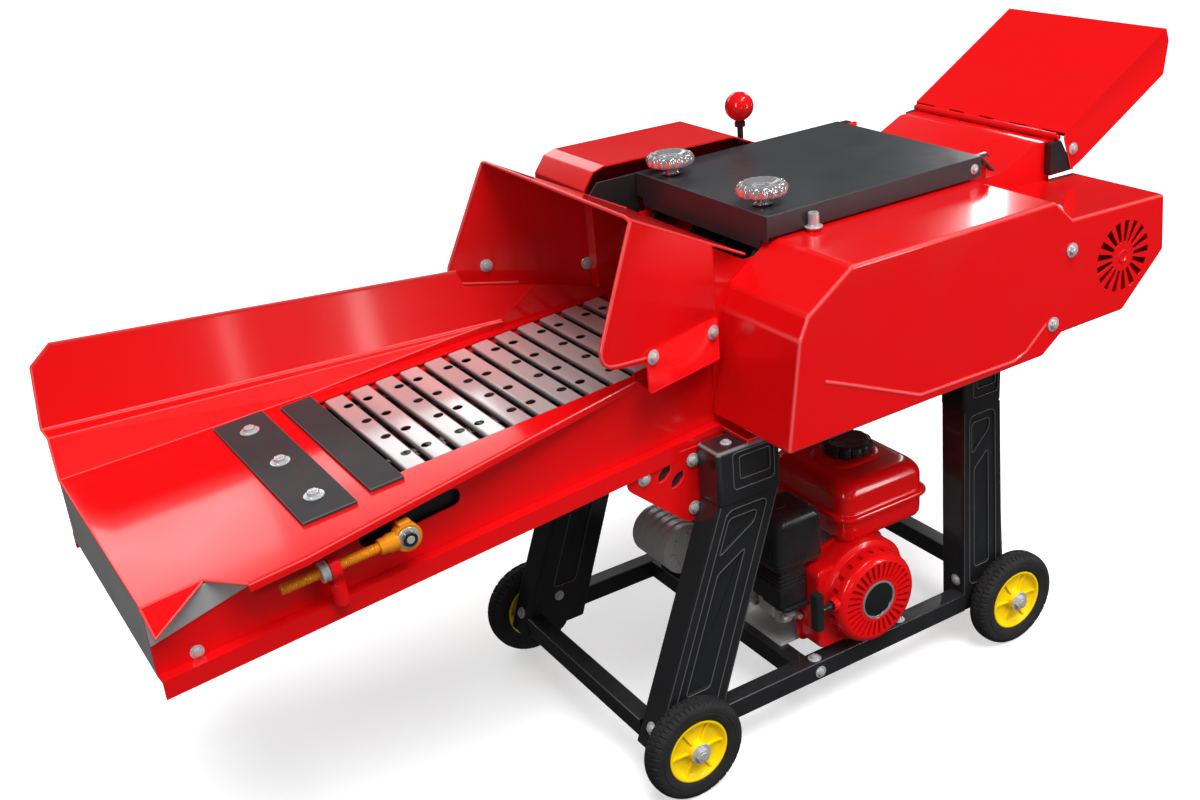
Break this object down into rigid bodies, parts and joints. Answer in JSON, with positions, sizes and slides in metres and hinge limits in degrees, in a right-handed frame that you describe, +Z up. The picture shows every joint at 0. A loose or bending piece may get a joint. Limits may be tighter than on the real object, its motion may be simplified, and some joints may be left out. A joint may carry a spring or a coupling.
{
  "type": "chaff cutter",
  "caption": "Wheeled petrol chaff cutter: flared feed trough with slat conveyor, cutter drum housing with side covers, hinged discharge deflector, recoil-start engine on a splayed frame.",
  "frame": {"origin": "centre of the overall box on the floor the wheels stand on", "axes": "+X from the feed tray to the discharge, -Y the engine's starter side, +Z up"},
  "size_m": [2.148, 0.816, 1.1653],
  "materials": {
    "red_paint": "gloss",
    "black_paint": "satin",
    "grey_paint": "satin",
    "bright_steel": "brushed",
    "zinc_plate": "yellow zinc plate",
    "yellow_paint": "gloss",
    "tyre_rubber": "matte",
    "chrome": "polished",
    "engine_alloy": "cast",
    "black_plastic": "satin",
    "red_knob": "gloss",
    "belt_rubber": "matte"
  },
  "bodies": {
    "frame": {"legs": "black_paint", "side_rails": "black_paint", "cross_rails": "black_paint", "support_plates": "red_paint", "base_plate": "red_paint", "stub_axles": "bright_steel", "trough_sides": "red_paint", "feed_tray": "red_paint", "grey_panels": "grey_paint", "wear_bars": "black_paint", "feed_hood": "red_paint", "housing_sides": "red_paint", "housing_floor": "red_paint", "shear_bar": "bright_steel", "bearings": "black_paint", "arm_pivot_shaft": "bright_steel", "near_cover": "red_paint", "far_cover": "red_paint", "discharge_chute": "red_paint", "fasteners": "bright_steel", "engine_block": "engine_alloy", "v_belt": "belt_rubber", "fuel_tank": "red_paint", "air_filter": "black_plastic", "carburettor": "engine_alloy", "recoil_cover": "red_paint", "muffler": "bright_steel"},
    "rotor": {"rotor_shaft": "bright_steel", "rotor_drum": "black_paint", "rotor_knives": "bright_steel", "rotor_pulley": "black_paint", "rotor_pinion": "bright_steel"},
    "reduction_gear": {"compound_gear": "bright_steel"},
    "conveyor_drive": {"conveyor_shaft": "bright_steel"},
    "chain_adjuster": {"eye_screws": "zinc_plate"},
    "idler": {"idler_shaft": "bright_steel"},
    "nut_near": {"adjuster_nut_near": "bright_steel"},
    "nut_far": {"adjuster_nut_far": "bright_steel"},
    "upper_run": {"slats_upper": "bright_steel"},
    "lower_run": {"slats_lower": "bright_steel"},
    "arms": {"roller_arms": "black_paint"},
    "roller": {"feed_roller": "bright_steel"},
    "cover": {"top_cover": "black_paint"},
    "knob_near": {"star_knob_near": "chrome"},
    "knob_far": {"star_knob_far": "chrome"},
    "outlet_deflector": {"deflector": "red_paint"},
    "lever": {"clutch_lever": "black_paint", "lever_ball": "red_knob"},
    "starter": {"starter_handle": "black_plastic"},
    "filler_cap": {"fuel_cap": "black_plastic"},
    "crank": {"crankshaft": "bright_steel", "engine_pulley": "black_paint"},
    "wheel_front_near": {"tyre_front_near": "tyre_rubber", "rim_front_near": "yellow_paint"},
    "wheel_front_far": {"tyre_front_far": "tyre_rubber", "rim_front_far": "yellow_paint"},
    "wheel_rear_near": {"tyre_rear_near": "tyre_rubber", "rim_rear_near": "yellow_paint"},
    "wheel_rear_far": {"tyre_rear_far": "tyre_rubber", "rim_rear_far": "yellow_paint"}
  },
  "joints": [
    {"name": "wheel_front_near_spin", "type": "hinge", "parent": "frame", "child": "wheel_front_near", "pos_m": [-0.211, -0.304, 0.1], "axis": [0, 1, 0], "continuous": true},
    {"name": "wheel_front_far_spin", "type": "hinge", "parent": "frame", "child": "wheel_front_far", "pos_m": [-0.211, 0.304, 0.1], "axis": [0, 1, 0], "continuous": true},
    {"name": "wheel_rear_near_spin", "type": "hinge", "parent": "frame", "child": "wheel_rear_near", "pos_m": [0.585, -0.304, 0.1], "axis": [0, 1, 0], "continuous": true},
    {"name": "wheel_rear_far_spin", "type": "hinge", "parent": "frame", "child": "wheel_rear_far", "pos_m": [0.585, 0.304, 0.1], "axis": [0, 1, 0], "continuous": true},
    {"name": "rotor_spin", "type": "hinge", "parent": "frame", "child": "rotor", "pos_m": [0.23982, 0, 0.82], "axis": [0, 1, 0], "continuous": true},
    {"name": "gear_spin", "type": "hinge", "parent": "frame", "child": "reduction_gear", "pos_m": [0.10836, -0.248, 0.78553], "axis": [0, 1, 0], "continuous": true},
    {"name": "conveyor_spin", "type": "hinge", "parent": "frame", "child": "conveyor_drive", "pos_m": [0.03481, 0, 0.75419], "axis": [0, 1, 0], "continuous": true},
    {"name": "crank_spin", "type": "hinge", "parent": "frame", "child": "crank", "pos_m": [0.228, 0, 0.238], "axis": [0, 1, 0], "continuous": true},
    {"name": "adjuster_slide", "type": "slide", "parent": "frame", "child": "chain_adjuster", "axis": [-0.9971, 0, -0.0758], "range_m": [0, 0.02]},
    {"name": "nut_near_turn", "type": "hinge", "parent": "frame", "child": "nut_near", "pos_m": [-0.81272, -0.27, 0.68972], "axis": [0.9971, 0, 0.0758], "range_deg": [0, 2881]},
    {"name": "nut_far_turn", "type": "hinge", "parent": "frame", "child": "nut_far", "pos_m": [-0.81272, 0.27, 0.68972], "axis": [0.9971, 0, 0.0758], "range_deg": [0, 2881]},
    {"name": "idler_spin", "type": "hinge", "parent": "chain_adjuster", "child": "idler", "pos_m": [-0.67612, 0, 0.70011], "axis": [0, 1, 0], "continuous": true},
    {"name": "upper_run_slide", "type": "slide", "parent": "frame", "child": "upper_run", "axis": [0.9971, 0, 0.0758], "range_m": [-0.024, 0.024]},
    {"name": "lower_run_slide", "type": "slide", "parent": "frame", "child": "lower_run", "axis": [0.9971, 0, 0.0758], "range_m": [-0.024, 0.024]},
    {"name": "roller_float", "type": "hinge", "parent": "frame", "child": "arms", "pos_m": [0.114, 0, 0.955], "axis": [0, 1, 0], "range_deg": [0, 10]},
    {"name": "roller_spin", "type": "hinge", "parent": "arms", "child": "roller", "pos_m": [0.03481, 0, 0.86435], "axis": [0, 1, 0], "continuous": true},
    {"name": "cover_hinge", "type": "hinge", "parent": "frame", "child": "cover", "pos_m": [0.59, 0, 1], "axis": [0, 1, 0], "range_deg": [0, 95]},
    {"name": "knob_near_turn", "type": "hinge", "parent": "cover", "child": "knob_near", "pos_m": [0.114, -0.142, 1.03], "axis": [0, 0, 1], "continuous": true},
    {"name": "knob_far_turn", "type": "hinge", "parent": "cover", "child": "knob_far", "pos_m": [0.114, 0.142, 1.03], "axis": [0, 0, 1], "continuous": true},
    {"name": "deflector_hinge", "type": "hinge", "parent": "frame", "child": "outlet_deflector", "pos_m": [0.785, 0, 1.003], "axis": [0, 1, 0], "range_deg": [-25, 32]},
    {"name": "lever_swing", "type": "hinge", "parent": "frame", "child": "lever", "pos_m": [0.349, 0.237, 0.955], "axis": [0, 1, 0], "range_deg": [-12, 12]},
    {"name": "starter_pull", "type": "slide", "parent": "frame", "child": "starter", "axis": [-1, 0, 0], "range_m": [0, 0.13], "stiffness_N_per_m": 40, "springref_m": -0.05},
    {"name": "filler_cap_turn", "type": "hinge", "parent": "frame", "child": "filler_cap", "pos_m": [0.318, -0.115, 0.466], "axis": [0, 0, 1], "range_deg": [0, 90]}
  ],
  "couplings": [
    {"joint": "gear_spin", "follows": "rotor_spin", "ratio": -0.36},
    {"joint": "conveyor_spin", "follows": "rotor_spin", "ratio": 0.15429},
    {"joint": "idler_spin", "follows": "rotor_spin", "ratio": 0.15429},
    {"joint": "crank_spin", "follows": "rotor_spin", "ratio": 2.2222},
    {"joint": "nut_near_turn", "follows": "adjuster_slide", "rad_per_m": 2513.3},
    {"joint": "nut_far_turn", "follows": "adjuster_slide", "rad_per_m": 2513.3},
    {"joint": "lower_run_slide", "follows": "upper_run_slide", "ratio": -1}
  ]
}
